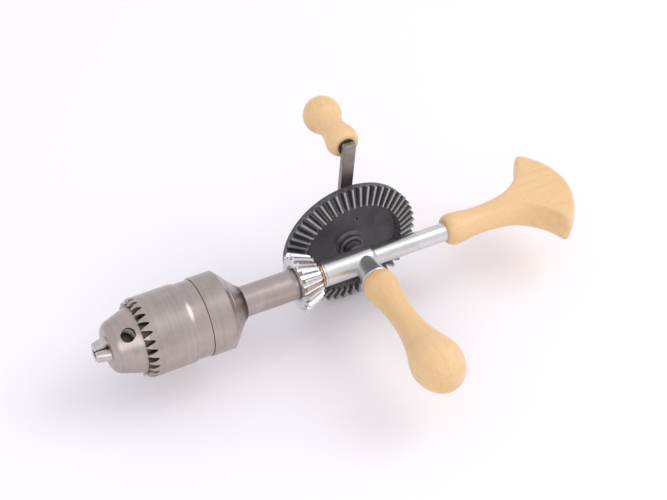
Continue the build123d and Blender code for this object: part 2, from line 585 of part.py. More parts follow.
KNOB_PLANE = Plane(origin=(GEAR_X + KNOB_X, 0, KNOB_Z), x_dir=(1, 0, 0), z_dir=(0, 0, 1))
KNOB_AXIS = Axis((GEAR_X + KNOB_X, 0, KNOB_Z), (0, 1, 0))
PIN_BORE_R = KNOB_PIN_R + RUN
KNOB_FOOT_R = 8.6
HEAD_SOCKET_R = 5.8
ball_angle = radians(48)  # where the neck runs into the ball, from its axis
ball_start = (KNOB_R * sin(ball_angle), KNOB_BALL_CENTRE_Y + KNOB_R * cos(ball_angle))
with BuildPart() as crank_knob:
    with BuildSketch(KNOB_PLANE):
        with BuildLine():
            Line((PIN_BORE_R, KNOB_Y), (KNOB_FOOT_R, KNOB_Y))
            Spline((KNOB_FOOT_R, KNOB_Y), *[(r, KNOB_Y - y) for y, r in KNOB_SECTIONS], ball_start,
                   tangents=((1.0, -0.7), (cos(ball_angle), -sin(ball_angle))))
            ThreePointArc(ball_start, (KNOB_R, KNOB_BALL_CENTRE_Y), (KNOB_RIM_R, KNOB_END_Y))
            Polyline((KNOB_RIM_R, KNOB_END_Y), (HEAD_SOCKET_R, KNOB_END_Y), (HEAD_SOCKET_R, HEAD_Y + GAP),
                     (PIN_BORE_R, HEAD_Y + GAP), (PIN_BORE_R, KNOB_Y))
        make_face()
    revolve(axis=KNOB_AXIS)
save(crank_knob.part, "crank_knob")

# ---- side handle ------------------------------------------------------------------------------
SIDE_END_Y = FERRULE_Y + SIDE_LENGTH
STUD_END_Y = FERRULE_Y + 62.0
with BuildPart() as side_ferrule:
    with BuildSketch(AXIAL):
        with BuildLine():
            Polyline((STUD_R + SEAT, 0), (8.3, 0), (8.5, 9.0), (9.3, 15.0), (FERRULE_R, FERRULE_Y - 0.8),
                     (FERRULE_R - 0.5, FERRULE_Y), (STUD_R + SEAT, FERRULE_Y), close=True)
        make_face()
    revolve(axis=CRANK_AXIS)
    with BuildSketch(across(-40)):
        Circle(BARREL_R + SEAT)
    extrude(amount=80, mode=Mode.SUBTRACT)
save(side_ferrule.part, "side_ferrule")

with BuildPart() as side_stud:
    with BuildSketch(beside(0.8)):
        Circle(STUD_R)
    extrude(amount=-(STUD_END_Y - 1.8))
save(side_stud.part, "side_stud")

with BuildPart() as side_handle:
    with BuildSketch(AXIAL):
        with BuildLine():
            Line((0, FERRULE_Y), (FERRULE_R - 0.6, FERRULE_Y))
            Spline((FERRULE_R - 0.6, FERRULE_Y), *[(r, FERRULE_Y + y) for y, r in SIDE_SECTIONS],
                   (SIDE_BULB_R, SIDE_END_Y - SIDE_BULB_END),
                   tangents=((1.0, 0.9), (0.0, 1.0)))
            Bezier((SIDE_BULB_R, SIDE_END_Y - SIDE_BULB_END),
                   (SIDE_BULB_R, SIDE_END_Y - (1 - ROUND) * SIDE_BULB_END),
                   (ROUND * SIDE_BULB_R, SIDE_END_Y), (0, SIDE_END_Y))
            Line((0, SIDE_END_Y), (0, FERRULE_Y))
        make_face()
    revolve(axis=CRANK_AXIS)
    with BuildSketch(beside(FERRULE_Y)):
        Circle(STUD_R + SEAT)
    extrude(amount=-(STUD_END_Y - FERRULE_Y), mode=Mode.SUBTRACT)
save(side_handle.part, "side_handle")

# ---- breast handle ----------------------------------------------------------------------------
BREAST_END_X = BREAST_X - BREAST_LENGTH
NUT_SEAT_X = TANG_END_X + 8.0
PLUG_R = 8.0
BREAST_FRONT_R = 9.2
PAD_CORNER_R = 5.0
with BuildPart() as breast_handle:
    with BuildSketch(AXIAL):
        with BuildLine():
            Line((BREAST_X, 0), (BREAST_X, BREAST_FRONT_R))
            Spline((BREAST_X, BREAST_FRONT_R), *[(BREAST_X - x, r) for x, r in BREAST_SECTIONS],
                   (BREAST_X - BREAST_TIP_X, PAD_HALF_WIDTH),
                   tangents=((-0.7, 1.0), (-0.35, 1.0)))
            ThreePointArc((BREAST_X - BREAST_TIP_X, PAD_HALF_WIDTH), (BREAST_END_X + 4.6, PAD_HALF_WIDTH / 2),
                          (BREAST_END_X, 0))
            Line((BREAST_END_X, 0), (BREAST_X, 0))
        make_face()
    revolve(axis=SPINDLE_AXIS)
    with BuildSketch(across(BREAST_END_X - 5)):
        RectangleRounded(2 * PAD_HALF_WIDTH + 1, 2 * PAD_HALF_HEIGHT, PAD_CORNER_R)
    extrude(amount=BREAST_LENGTH + 20, mode=Mode.INTERSECT)
    with BuildSketch(across(BREAST_X + 1)):
        Circle(TAIL_R + SEAT)
    extrude(amount=-4.0, mode=Mode.SUBTRACT)
    with BuildSketch(across(BREAST_X)):
        Circle(TANG_R + SEAT)
    extrude(amount=-BREAST_LENGTH, mode=Mode.SUBTRACT)
    with BuildSketch(across(NUT_SEAT_X)):
        Circle(PLUG_R + SEAT)
    extrude(amount=-30, mode=Mode.SUBTRACT)
save(breast_handle.part, "breast_handle")

with BuildPart() as breast_nut:
    with BuildSketch(across(NUT_SEAT_X)):
        RegularPolygon(6.5, 6, major_radius=False)
        Circle(TANG_R + SEAT, mode=Mode.SUBTRACT)
    extrude(amount=-6.0)
save(breast_nut.part, "breast_nut")

with BuildPart() as breast_plug:
    with BuildSketch(AXIAL):
        with BuildLine():
            Line((BREAST_END_X + 0.4, 0), (BREAST_END_X + 0.9, PLUG_R))
            Polyline((BREAST_END_X + 0.9, PLUG_R), (TANG_END_X - 1.5, PLUG_R), (TANG_END_X - 1.5, 0),
                     (BREAST_END_X + 0.4, 0))
        make_face()
    revolve(axis=SPINDLE_AXIS)
save(breast_plug.part, "breast_plug")
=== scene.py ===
# %% [markdown]
# # A hand drill, finished in Blender
# The mechanical model is already packed: every metal part has its size and place, in metres.
# The spindle runs along X with the chuck at +X, the side handle points to +Y and the crank is on -Y.
# This lesson turns the wooden parts on a virtual lathe, breaks the sharp edges of the castings, and
# gives every surface a procedural finish.

# %% Load the frame
import math

import bpy
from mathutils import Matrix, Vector


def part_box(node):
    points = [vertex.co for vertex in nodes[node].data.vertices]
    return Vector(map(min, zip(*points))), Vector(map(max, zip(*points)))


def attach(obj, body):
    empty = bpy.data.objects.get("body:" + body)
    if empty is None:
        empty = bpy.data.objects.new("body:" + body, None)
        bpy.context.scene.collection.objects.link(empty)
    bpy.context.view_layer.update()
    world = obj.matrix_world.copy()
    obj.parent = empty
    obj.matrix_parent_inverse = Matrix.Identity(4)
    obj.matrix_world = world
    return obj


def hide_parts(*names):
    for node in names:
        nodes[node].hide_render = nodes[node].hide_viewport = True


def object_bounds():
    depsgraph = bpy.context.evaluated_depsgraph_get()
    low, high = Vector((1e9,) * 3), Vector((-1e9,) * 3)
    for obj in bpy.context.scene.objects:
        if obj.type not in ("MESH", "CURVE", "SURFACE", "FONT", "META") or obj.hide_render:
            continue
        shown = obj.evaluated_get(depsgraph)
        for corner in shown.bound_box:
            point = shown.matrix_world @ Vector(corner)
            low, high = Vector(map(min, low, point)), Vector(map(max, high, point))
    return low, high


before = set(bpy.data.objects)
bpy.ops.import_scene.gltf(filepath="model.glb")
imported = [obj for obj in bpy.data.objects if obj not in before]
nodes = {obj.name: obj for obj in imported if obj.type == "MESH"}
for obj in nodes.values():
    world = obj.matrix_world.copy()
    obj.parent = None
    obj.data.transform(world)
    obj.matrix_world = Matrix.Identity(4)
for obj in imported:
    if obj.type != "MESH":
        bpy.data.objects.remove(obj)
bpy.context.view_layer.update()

MM = 0.001

# %% [markdown]
# ## Where things are
# All places come from the imported parts. The crank axis crosses the spindle axis at the gear axle,
# so the middle of the axle's box gives its X.

# %% Measure the frame
axle_lo, axle_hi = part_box("gear_axle")
CRANK_X = (axle_lo[0] + axle_hi[0]) / 2
side_lo, side_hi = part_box("side_handle")
knob_lo, knob_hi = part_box("crank_knob")
breast_lo, breast_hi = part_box("breast_handle")
KNOB_CENTRE = Vector(((knob_lo[0] + knob_hi[0]) / 2, 0, (knob_lo[2] + knob_hi[2]) / 2))
print("crank axis at x =", round(CRANK_X, 4), "knob axis at", [round(v, 4) for v in KNOB_CENTRE])

# %% [markdown]
# ## Helpers for modelling
# Operators act on whatever is selected, so every step starts by clearing the selection.

# %% Selection and copies
def only(obj):
    """Selects one object and makes it active."""
    if bpy.context.object and bpy.context.object.mode != "OBJECT":
        bpy.ops.object.mode_set(mode="OBJECT")
    bpy.ops.object.select_all(action="DESELECT")
    obj.select_set(True)
    bpy.context.view_layer.objects.active = obj


def settle(obj):
    """Leaves the object at the origin, unturned and unscaled, with its place in its mesh."""
    only(obj)
    bpy.ops.object.transform_apply(location=True, rotation=True, scale=True)


def apply_modifier(obj, kind, **values):
    only(obj)
    modifier = obj.modifiers.new(kind.title(), kind)
    for key, value in values.items():
        setattr(modifier, key, value)
    bpy.ops.object.modifier_apply(modifier=modifier.name)


def finished_copy(node, name, body, width, segments=2, angle=35.0):
    """Copies a machined part, joins its loose triangles and rounds its sharp edges."""
    piece = nodes[node].copy()
    piece.data = nodes[node].data.copy()
    bpy.context.collection.objects.link(piece)
    piece.parent = None
    piece.name = name
    piece.data.name = name
    settle(piece)
    bpy.ops.object.mode_set(mode="EDIT")
    bpy.ops.mesh.select_all(action="SELECT")
    bpy.ops.mesh.remove_doubles(threshold=0.004 * MM)
    bpy.ops.mesh.customdata_custom_splitnormals_clear()
    bpy.ops.mesh.dissolve_limited(angle_limit=math.radians(0.5))
    bpy.ops.object.mode_set(mode="OBJECT")
    apply_modifier(piece, "BEVEL", width=width, segments=segments, limit_method="ANGLE",
                   angle_limit=math.radians(angle), use_clamp_overlap=True, harden_normals=False)
    only(piece)
    bpy.ops.object.shade_smooth_by_angle(angle=math.radians(32))
    apply_modifier(piece, "WEIGHTED_NORMAL", weight=80, keep_sharp=True)
    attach(piece, body)
    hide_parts(node)
    print(name, len(piece.data.polygons), "faces")
    return piece


# %% [markdown]
# ## The lathe
# Turned wood is a stack of rings. A ring of vertices is added at the foot of the piece, then extruded
# along the axis and resized for every station of the profile. A few crease-free loops and a
# subdivision give the smooth flowing line that a turner's gouge leaves. The alternative, spinning a
# profile, leaves a pole that needs more cleaning.

# %% Turning
def turned(name, foot, along, stations, body, segments=48, levels=2):
    """Turns a closed shape. foot is the axis point, along the unit axis, stations (distance, radius)."""
    along = Vector(along)
    first = stations[0]
    start = Vector(foot) + along * first[0]
    bpy.ops.object.select_all(action="DESELECT")
    quarter = math.radians(90)
    turn = (quarter, 0, 0) if abs(along.y) > 0.5 else (0, quarter, 0)
    bpy.ops.mesh.primitive_circle_add(vertices=segments, radius=first[1], fill_type="NOTHING",
                                      location=start, rotation=turn)
    piece = bpy.context.object
    piece.name = name
    piece.data.name = name
    settle(piece)
    bpy.ops.object.mode_set(mode="EDIT")
    bpy.ops.mesh.select_all(action="SELECT")
    distance, radius = first
    for new_distance, new_radius in stations[1:]:
        bpy.ops.mesh.extrude_region_move(TRANSFORM_OT_translate={"value": along * (new_distance - distance)})
        ratio = new_radius / radius
        centre = Vector(foot) + along * new_distance
        bpy.ops.transform.resize(value=(ratio, ratio, ratio), center_override=centre)
        distance, radius = new_distance, new_radius
    bpy.ops.mesh.merge(type="CENTER")
    bpy.ops.mesh.select_all(action="DESELECT")
    bpy.ops.object.mode_set(mode="OBJECT")
    foot_ring = Vector(foot) + along * first[0]
    for vertex in piece.data.vertices:
        vertex.select = abs((vertex.co - foot_ring).dot(along)) < 1e-6
    bpy.ops.object.mode_set(mode="EDIT")
    bpy.ops.mesh.extrude_region_move()
    bpy.ops.mesh.merge(type="CENTER")
    bpy.ops.mesh.select_all(action="SELECT")
    bpy.ops.mesh.remove_doubles(threshold=0.001 * MM)
    bpy.ops.mesh.normals_make_consistent(inside=False)
    bpy.ops.object.mode_set(mode="OBJECT")
    apply_modifier(piece, "SUBSURF", levels=levels, render_levels=levels)
    only(piece)
    bpy.ops.object.shade_smooth_by_angle(angle=math.radians(40))
    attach(piece, body)
    print(name, len(piece.data.polygons), "faces")
    return piece


# %% [markdown]
# ## Side handle
# A pear-shaped grip: a small shoulder at the ferrule, a waist for the fingers and a bulb for the palm.
# The bulb ends in a quarter of an ellipse, worked out by its formula.

# %% Turn the side handle
def eased(points, steps=3):
    """Fills a profile with points on a smooth curve through the given ones."""
    full = []
    for i in range(len(points) - 1):
        p0 = points[max(i - 1, 0)]
        p1, p2 = points[i], points[i + 1]
        p3 = points[min(i + 2, len(points) - 1)]
        for s in range(steps):
            t = s / steps
            full.append(tuple(0.5 * ((2 * b) + (c - a) * t + (2 * a - 5 * b + 4 * c - d) * t * t
                                     + (3 * b - a - 3 * c + d) * t ** 3)
                              for a, b, c, d in zip(p0, p1, p2, p3)))
    full.append(points[-1])
    return full


def dome(distance, radius, length, steps=8, until=88.0):
    """Stations of an elliptical end that starts at full radius."""
    return [(distance + length * math.sin(math.radians(a)), radius * math.cos(math.radians(a)))
            for a in [until * (i + 1) / steps for i in range(steps)]]


SIDE_LENGTH = side_hi[1] - side_lo[1]
SIDE_R = (side_hi[2] - side_lo[2]) / 2
SIDE_END = 25 * MM
side_profile = eased([(0.9 * MM, 10.9 * MM), (3.5 * MM, 12.1 * MM), (8 * MM, 12.7 * MM),
                      (16 * MM, 11.6 * MM), (27 * MM, 9.9 * MM), (43 * MM, 9.4 * MM),
                      (56 * MM, 10.6 * MM), (69 * MM, 13.3 * MM), (80 * MM, 17.0 * MM),
                      (SIDE_LENGTH - SIDE_END, SIDE_R)])
side_shoulder = [(0, 9.8 * MM), (0.25 * MM, 10.3 * MM)]
side_stations = side_shoulder + side_profile + dome(SIDE_LENGTH - SIDE_END, SIDE_R, SIDE_END)
side_grip = turned("side_grip", (CRANK_X, side_lo[1], 0), (0, 1, 0), side_stations, "frame")
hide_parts("side_handle")

# %% [markdown]
# ## Crank knob
# A ball for the hand on a short waist, with a flat foot against the arm. Its far end is counterbored
# for the screw's head, so the profile turns inward there and comes back along the bore.

# %% Turn the knob
KNOB_R = (knob_hi[0] - knob_lo[0]) / 2
KNOB_FOOT_Y = knob_hi[1]
KNOB_LENGTH = knob_hi[1] - knob_lo[1]
BALL_AT = 37.5 * MM
RIM_R = 7.0 * MM
BALL_FROM = 50
BALL_STEPS = 9


def ball_point(angle):
    a = math.radians(angle)
    return (BALL_AT - KNOB_R * math.cos(a), KNOB_R * math.sin(a))


rim_angle = 180 - math.degrees(math.asin(RIM_R / KNOB_R))
knob_profile = eased([(0.6 * MM, 9.6 * MM), (3.5 * MM, 11.3 * MM), (7.5 * MM, 11.8 * MM),
                      (13 * MM, 10.5 * MM), (19 * MM, 9.3 * MM), (24.5 * MM, 9.5 * MM),
                      ball_point(BALL_FROM)])
ball = [ball_point(BALL_FROM + (rim_angle - BALL_FROM) * (i + 1) / BALL_STEPS) for i in range(BALL_STEPS)]
knob_stations = [(0, 8.4 * MM), (0.2 * MM, 8.9 * MM)] + knob_profile + ball + [
    (KNOB_LENGTH, 6.2 * MM), (KNOB_LENGTH - 0.3 * MM, 5.85 * MM),
    (KNOB_LENGTH - 3.6 * MM, 5.8 * MM),
    (KNOB_LENGTH - 3.8 * MM, 5.4 * MM), (KNOB_LENGTH - 3.8 * MM, 3.3 * MM)]
knob = turned("hand_knob", (KNOB_CENTRE.x, KNOB_FOOT_Y, KNOB_CENTRE.z), (0, -1, 0), knob_stations,
              "knob")
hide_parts("crank_knob")

# %% [markdown]
# ## Breast handle
# The end that rests against the body is turned as a flared cap, then sawn flat on two sides, and the
# sawn edges are rasped round by hand. Here a box cuts the turned shape, a remesh gives an even skin,
# and a smoothing that grows towards the cap does the rasping.

# %% Turn, saw and rasp the breast handle
BREAST_LENGTH = breast_hi[0] - breast_lo[0]
PAD_HALF_WIDTH = breast_hi[1]
PAD_HALF_HEIGHT = breast_hi[2]
PAD_TIP = 79.5 * MM
arc_centre = (BREAST_LENGTH ** 2 - PAD_TIP ** 2 - PAD_HALF_WIDTH ** 2) / (2 * (BREAST_LENGTH - PAD_TIP))
arc_radius = BREAST_LENGTH - arc_centre
tip_angle = math.degrees(math.asin(PAD_HALF_WIDTH / arc_radius))
breast_profile = eased([(0.8 * MM, 9.9 * MM), (5 * MM, 11.8 * MM), (14 * MM, 11.0 * MM), (26 * MM, 9.8 * MM),
                        (47 * MM, 11.2 * MM), (61 * MM, 15.5 * MM), (71.5 * MM, 24 * MM),
                        (76.5 * MM, 32 * MM)])
rear_arc = [(arc_centre + arc_radius * math.cos(math.radians(a)), arc_radius * math.sin(math.radians(a)))
            for a in [tip_angle * (1 - i / 8) for i in range(8)]]
pad = turned("breast_pad", (breast_hi[0], 0, 0), (-1, 0, 0),
             [(0, 8.4 * MM), (0.2 * MM, 9.1 * MM)] + breast_profile + rear_arc + [(BREAST_LENGTH, 1.5 * MM)],
             "frame", 96, 1)
bpy.ops.object.select_all(action="DESELECT")
bpy.ops.mesh.primitive_cube_add(size=1.0, location=((breast_lo[0] + breast_hi[0]) / 2, 0, 0),
                                scale=(2 * BREAST_LENGTH, 4 * PAD_HALF_WIDTH, 2 * PAD_HALF_HEIGHT))
saw = bpy.context.object
apply_modifier(pad, "BOOLEAN", operation="INTERSECT", object=saw, solver="EXACT")
bpy.data.objects.remove(saw)
apply_modifier(pad, "REMESH", mode="VOXEL", voxel_size=0.8 * MM)
rasped = pad.vertex_groups.new(name="rasped")
for vertex in pad.data.vertices:
    depth = (breast_hi[0] - vertex.co.x) / BREAST_LENGTH
    rasped.add([vertex.index], min(1.0, max(0.05, (depth - 0.45) / 0.25)), "REPLACE")
apply_modifier(pad, "SMOOTH", factor=0.5, iterations=44, vertex_group="rasped")
only(pad)
bpy.ops.object.shade_smooth_by_angle(angle=math.radians(60))
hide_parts("breast_handle", "breast_plug")
print("breast_pad", len(pad.data.polygons), "faces")

# %% [markdown]
# ## Breaking the edges
# Real castings and turned steel have no knife edges: a file or a grinding wheel has broken them, and
# the narrow round catches the light. A copy of each machined part gets a small bevel on the edges
# sharper than about 35 degrees.

# %% Rounded copies of the machined parts
bar = finished_copy("frame_bar", "frame_forging", "frame", 0.35 * MM)
ferrule = finished_copy("side_ferrule", "ferrule", "frame", 0.3 * MM)
wheel = finished_copy("drive_gear", "drive_wheel", "crank", 0.12 * MM, 1)
small_gear = finished_copy("pinion", "bevel_pinion", "spindle", 0.12 * MM, 1)
arm = finished_copy("crank_arm", "crank_bar", "crank", 0.25 * MM)
chuck = finished_copy("chuck_body", "chuck_core", "spindle", 0.35 * MM)
sleeve = finished_copy("chuck_sleeve", "key_sleeve", "sleeve", 0.22 * MM)
shaft = finished_copy("spindle", "drill_spindle", "spindle", 0.3 * MM)

# %% [markdown]
# ## Threads in the key holes
# The chuck's three key holes are tapped. A stack of thin rings on each wall stands in for the thread:
# rings cost little, and the eye reads them as a thread at this size.

# %% Ring threads
KEY_HOLE_X = -12.5 * MM
KEY_HOLE_R = 5.0 * MM
THREAD_FROM, THREAD_TO, THREAD_PITCH = 10.2 * MM, 18.0 * MM, 1.15 * MM
thread_rings = []
for hole in range(3):
    around = math.radians(60 + 120 * hole)
    outward = Vector((0, math.cos(around), math.sin(around)))
    for step in range(int((THREAD_TO - THREAD_FROM) / THREAD_PITCH) + 1):
        middle_of_ring = Vector((KEY_HOLE_X, 0, 0)) + outward * (THREAD_FROM + step * THREAD_PITCH)
        bpy.ops.object.select_all(action="DESELECT")
        bpy.ops.mesh.primitive_torus_add(location=middle_of_ring, rotation=(around - math.radians(90), 0, 0),
                                         major_radius=KEY_HOLE_R - 0.05 * MM, minor_radius=0.33 * MM,
                                         major_segments=40, minor_segments=8)
        thread_rings.append(bpy.context.object)
bpy.ops.object.select_all(action="DESELECT")
for ring in thread_rings:
    ring.select_set(True)
bpy.context.view_layer.objects.active = thread_rings[0]
bpy.ops.object.join()
threads = bpy.context.object
threads.name = "key_hole_threads"
threads.data.name = "key_hole_threads"
settle(threads)
bpy.ops.object.shade_smooth()
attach(threads, "spindle")
print("threads", len(threads.data.polygons), "faces")

# %% [markdown]
# ## Shared effects
# Four effects are used by several finishes, so each is a node group made once: grain for wood, lathe
# rings for turned steel, handling marks for everything, and worn edges for dark metal. A group gives
# out only masks and heights. The shader itself stays in each material.

# %% Node helpers
def new_group(name, inputs, outputs):
    tree = bpy.data.node_groups.new(name, "ShaderNodeTree")
    for label, kind, default in inputs:
        socket = tree.interface.new_socket(label, in_out="INPUT", socket_type=kind)
        if default is not None:
            socket.default_value = default
    for label in outputs:
        tree.interface.new_socket(label, in_out="OUTPUT", socket_type="NodeSocketFloat")
    return tree, tree.nodes.new("NodeGroupInput"), tree.nodes.new("NodeGroupOutput")


def add_node(tree, kind, **values):
    node = tree.nodes.new(kind)
    for key, value in values.items():
        setattr(node, key, value)
    return node


def math_node(tree, operation, a, b=None, clamp=False):
    node = add_node(tree, "ShaderNodeMath", operation=operation, use_clamp=clamp)
    for socket, value in zip(node.inputs, (a, b)):
        if value is None:
            continue
        if isinstance(value, (int, float)):
            socket.default_value = value
        else:
            tree.links.new(value, socket)
    return node.outputs[0]


def noise(tree, vector, scale, detail=4.0, roughness=0.55, distortion=0.0):
    node = add_node(tree, "ShaderNodeTexNoise")
    node.inputs["Detail"].default_value = detail
    node.inputs["Roughness"].default_value = roughness
    node.inputs["Distortion"].default_value = distortion
    tree.links.new(vector, node.inputs["Vector"])
    if isinstance(scale, (int, float)):
        node.inputs["Scale"].default_value = scale
    else:
        tree.links.new(scale, node.inputs["Scale"])
    return node.outputs["Fac"]


def ramp(tree, value, stops):
    """A colour ramp: stops are (place, colour) with linear colours or greys."""
    node = add_node(tree, "ShaderNodeValToRGB")
    elements = node.color_ramp.elements
    while len(elements) < len(stops):
        elements.new(0.5)
    for element, (place, colour) in zip(elements, stops):
        element.position = place
        element.color = (colour, colour, colour, 1) if isinstance(colour, (int, float)) else (*colour, 1)
    tree.links.new(value, node.inputs["Fac"])
    return node.outputs["Color"]


def stretched(tree, vector, scale):
    node = add_node(tree, "ShaderNodeMapping")
    node.inputs["Scale"].default_value = scale
    tree.links.new(vector, node.inputs["Vector"])
    return node.outputs["Vector"]


# %% [markdown]
# ### Wood grain
# Beech has faint year rings drawn out along the stem and thousands of short dark rays a millimetre or
# two long. The coordinates come in with X along the grain and are squeezed in that direction.

# %% Grain group
grain_group, gin, gout = new_group("beech_grain", [("Vector", "NodeSocketVector", None)],
                                   ["Rings", "Rays", "Pores"])
along_grain = gin.outputs["Vector"]
slow = stretched(grain_group, along_grain, (3.0, 26.0, 26.0))
warp = noise(grain_group, slow, 3.2, 3.0, 0.5, 0.6)
rings = noise(grain_group, stretched(grain_group, along_grain, (9.0, 150.0, 150.0)), 1.6, 5.0, 0.6, 0.35)
rings = math_node(grain_group, "ADD", math_node(grain_group, "MULTIPLY", rings, 0.55),
                  math_node(grain_group, "MULTIPLY", warp, 0.45))
rays = noise(grain_group, stretched(grain_group, along_grain, (260.0, 1500.0, 1500.0)), 1.0, 2.0, 0.4)
pores = noise(grain_group, stretched(grain_group, along_grain, (120.0, 2600.0, 2600.0)), 1.0, 2.0, 0.5)
grain_group.links.new(rings, gout.inputs["Rings"])
grain_group.links.new(math_node(grain_group, "GREATER_THAN", rays, 0.63), gout.inputs["Rays"])
grain_group.links.new(pores, gout.inputs["Pores"])

# %% [markdown]
# ### Lathe rings
# Turned steel carries fine rings square to its axis. They depend only on the place along the axis, so
# the other two coordinates are squeezed to nothing.

# %% Lathe group
lathe_group, gin, gout = new_group("lathe_rings", [("Vector", "NodeSocketVector", None)], ["Fine", "Band"])
fine = noise(lathe_group, stretched(lathe_group, gin.outputs["Vector"], (9000.0, 40.0, 40.0)), 1.0, 3.0, 0.7)
band = noise(lathe_group, stretched(lathe_group, gin.outputs["Vector"], (420.0, 8.0, 8.0)), 1.0, 3.0, 0.6)
lathe_group.links.new(fine, gout.inputs["Fine"])
lathe_group.links.new(band, gout.inputs["Band"])

# %% [markdown]
# ### Handling marks
# Hands leave cloudy patches and workshops leave short scratches. Clouds are a soft noise; scratches
# are a sharply cut noise drawn out in two directions.

# %% Marks group
marks_group, gin, gout = new_group("handling_marks", [("Vector", "NodeSocketVector", None),
                                                      ("Scale", "NodeSocketFloat", 60.0)],
                                   ["Clouds", "Scratches", "Pits"])
clouds = noise(marks_group, gin.outputs["Vector"], gin.outputs["Scale"], 5.0, 0.6, 0.4)
lines = [noise(marks_group, stretched(marks_group, gin.outputs["Vector"], scale), 1.0, 2.0, 0.5)
         for scale in ((1400.0, 60.0, 320.0), (80.0, 1500.0, 420.0))]
scratch = math_node(marks_group, "MAXIMUM", math_node(marks_group, "GREATER_THAN", lines[0], 0.72),
                    math_node(marks_group, "GREATER_THAN", lines[1], 0.73))
pits = noise(marks_group, gin.outputs["Vector"], 1100.0, 4.0, 0.6)
for value, label in ((clouds, "Clouds"), (scratch, "Scratches"), (pits, "Pits")):
    marks_group.links.new(value, gout.inputs[label])

# %% [markdown]
# ### Worn edges
# A bevelled normal bends away from the true one only near an edge. The difference, broken up by
# noise, is where paint or blacking has rubbed off.

# %% Wear group
wear_group, gin, gout = new_group("worn_edges", [("Vector", "NodeSocketVector", None),
                                                 ("Reach", "NodeSocketFloat", 0.0006),
                                                 ("Amount", "NodeSocketFloat", 1.0)], ["Mask"])
rounded = add_node(wear_group, "ShaderNodeBevel", samples=4)
wear_group.links.new(gin.outputs["Reach"], rounded.inputs["Radius"])
surface = add_node(wear_group, "ShaderNodeNewGeometry")
compare = add_node(wear_group, "ShaderNodeVectorMath", operation="DOT_PRODUCT")
wear_group.links.new(rounded.outputs["Normal"], compare.inputs[0])
wear_group.links.new(surface.outputs["Normal"], compare.inputs[1])
bend = math_node(wear_group, "SUBTRACT", 1.0, compare.outputs["Value"])
edge = math_node(wear_group, "MULTIPLY", bend, 7.0, True)
patches = noise(wear_group, gin.outputs["Vector"], 240.0, 4.0, 0.65)
edge = math_node(wear_group, "MULTIPLY", edge, math_node(wear_group, "ADD", patches, 0.35))
worn = math_node(wear_group, "MULTIPLY", edge, gin.outputs["Amount"], True)
wear_group.links.new(worn, gout.inputs["Mask"])
print("groups", [g.name for g in bpy.data.node_groups])


# %% [markdown]
# ## Finishes
# Each finish is a Principled shader. Plain numbers are set straight on its sockets. What changes over
# the surface comes from the groups.

# %% Material helpers
def new_finish(name, **fixed):
    material = bpy.data.materials.new(name)
    material.use_nodes = True
    tree = material.node_tree
    shader = tree.nodes["Principled BSDF"]
    for key, value in fixed.items():
        shader.inputs[key.replace("_", " ")].default_value = value
    place = add_node(tree, "ShaderNodeTexCoord").outputs["Object"]
    return material, tree, shader, place


def use_group(tree, group, vector, **values):
    node = add_node(tree, "ShaderNodeGroup", node_tree=group)
    tree.links.new(vector, node.inputs["Vector"])
    for key, value in values.items():
        node.inputs[key].default_value = value
    return node.outputs


def mixed(tree, mask, a, b):
    """Colour a where the mask is 0 and b where it is 1; each may be a colour or an output."""
    node = add_node(tree, "ShaderNodeMix", data_type="RGBA")
    tree.links.new(mask, node.inputs["Factor"])
    for label, value in (("A", a), ("B", b)):
        socket = [s for s in node.inputs if s.name == label and s.type == "RGBA"][0]
        if isinstance(value, tuple):
            socket.default_value = (*value, 1)
        else:
            tree.links.new(value, socket)
    return [s for s in node.outputs if s.type == "RGBA"][0]


def bumped(tree, shader, height, distance, strength=1.0):
    node = add_node(tree, "ShaderNodeBump")
    node.inputs["Distance"].default_value = distance
    node.inputs["Strength"].default_value = strength
    tree.links.new(height, node.inputs["Height"])
    tree.links.new(node.outputs["Normal"], shader.inputs["Normal"])


def spread(tree, value, low, high):
    """Maps a 0 to 1 value to low to high."""
    return math_node(tree, "ADD", math_node(tree, "MULTIPLY", value, high - low), low)


# %% [markdown]
# ### Varnished beech
# The handles are pale beech under a thin satin varnish. One function makes the wood for each piece,
# because the grain has to run along that piece: the coordinates are turned so that X follows its axis.

# %% Wood
def beech(name, turn, seat):
    material, tree, shader, place = new_finish(name, Coat_Weight=0.22, Coat_Roughness=0.24,
                                               Specular_IOR_Level=0.42, Subsurface_Weight=0.04,
                                               Subsurface_Scale=0.002)
    turned_place = add_node(tree, "ShaderNodeMapping")
    turned_place.inputs["Rotation"].default_value = turn
    turned_place.inputs["Location"].default_value = seat
    tree.links.new(place, turned_place.inputs["Vector"])
    along = turned_place.outputs["Vector"]
    grain = use_group(tree, grain_group, along)
    marks = use_group(tree, marks_group, place, Scale=34.0)
    base = ramp(tree, grain["Rings"], [(0.30, (0.74, 0.47, 0.22)), (0.47, (0.80, 0.54, 0.27)),
                                       (0.58, (0.83, 0.57, 0.295)), (0.74, (0.77, 0.50, 0.24))])
    rayed = mixed(tree, math_node(tree, "MULTIPLY", grain["Rays"], 0.20), base, (0.56, 0.32, 0.13))
    handled = mixed(tree, math_node(tree, "MULTIPLY", marks["Clouds"], 0.20), rayed, (0.68, 0.41, 0.18))
    tree.links.new(handled, shader.inputs["Base Color"])
    tree.links.new(spread(tree, marks["Clouds"], 0.32, 0.52), shader.inputs["Roughness"])
    raised = math_node(tree, "SUBTRACT", grain["Pores"], math_node(tree, "MULTIPLY", grain["Rays"], 0.4))
    bumped(tree, shader, raised, 0.04 * MM, 0.6)
    return material


QUARTER = math.radians(90)
wood_side = beech("beech_side", (0, 0, -QUARTER), (0.013, 0.021, 0.004))
wood_knob = beech("beech_knob", (0, 0, -QUARTER), (0.041, 0.067, 0.023))
wood_breast = beech("beech_breast", (0, 0, 0), (0.085, 0.011, 0.037))
